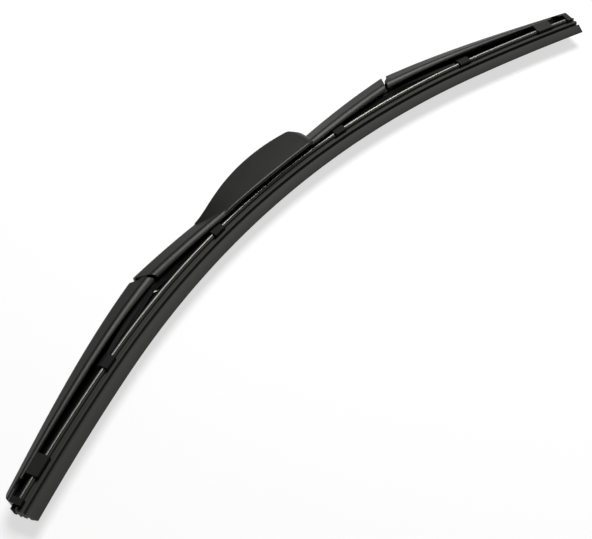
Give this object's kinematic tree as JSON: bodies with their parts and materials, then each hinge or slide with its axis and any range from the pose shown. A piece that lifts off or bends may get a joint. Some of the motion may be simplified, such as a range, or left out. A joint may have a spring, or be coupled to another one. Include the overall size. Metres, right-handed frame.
{
  "type": "wiper blade",
  "caption": "Curved car wiper blade with hinged aero covers, rocking yokes, sprung rubber lip and a swinging hook adaptor under its central hump.",
  "frame": {"origin": "middle of the arm pin, on the blade's mid plane", "axes": "+X along the blade, +Y from the rubber's lip to the covers' crest, +Z along the hinge pins; the blade lies on its side"},
  "size_m": [0.4128, 0.0766, 0.0178],
  "materials": {
    "cover": "fine-grained black moulding",
    "lever": "black coated pressed steel",
    "pin": "plain steel",
    "adaptor": "smooth black moulding",
    "yoke": "black moulding",
    "bush": "natural acetal",
    "rubber": "matt graphite-coated rubber",
    "strip": "bright spring steel"
  },
  "bodies": {
    "centre": {"centre_cover": "cover", "primary_lever": "lever", "arm_pin": "pin", "left_pivot_pin": "pin", "right_pivot_pin": "pin", "wiper_rubber": "rubber", "near_strip": "strip", "far_strip": "strip"},
    "adaptor": {"arm_adaptor": "adaptor"},
    "left_rocker": {"left_yoke": "yoke", "left_pivot_bush": "bush"},
    "right_rocker": {"right_yoke": "yoke", "right_pivot_bush": "bush"},
    "left_wing": {"left_outer_cover": "cover"},
    "right_wing": {"right_outer_cover": "cover"}
  },
  "joints": [
    {"name": "adaptor_swing", "type": "hinge", "parent": "centre", "child": "adaptor", "pos_m": [0, 0, 0], "axis": [0, 0, 1], "range_deg": [-25, 8]},
    {"name": "left_yoke_rock", "type": "hinge", "parent": "centre", "child": "left_rocker", "pos_m": [-0.09277, -0.00975, 0], "axis": [0, 0, -1], "range_deg": [-2.5, 8], "stiffness_Nm_per_rad": 2, "deforming": ["wiper_rubber", "near_strip", "far_strip"]},
    {"name": "right_yoke_rock", "type": "hinge", "parent": "centre", "child": "right_rocker", "pos_m": [0.09277, -0.00975, 0], "axis": [0, 0, 1], "range_deg": [-2.5, 8], "stiffness_Nm_per_rad": 2, "deforming": ["wiper_rubber", "near_strip", "far_strip"]},
    {"name": "left_cover_hinge", "type": "hinge", "parent": "left_rocker", "child": "left_wing", "pos_m": [-0.09277, -0.00975, 0], "axis": [0, 0, -1], "range_deg": [-1.25, 4]},
    {"name": "right_cover_hinge", "type": "hinge", "parent": "right_rocker", "child": "right_wing", "pos_m": [0.09277, -0.00975, 0], "axis": [0, 0, 1], "range_deg": [-1.25, 4]}
  ],
  "couplings": [
    {"joint": "left_cover_hinge", "follows": "left_yoke_rock", "ratio": 0.5},
    {"joint": "right_cover_hinge", "follows": "right_yoke_rock", "ratio": 0.5}
  ]
}
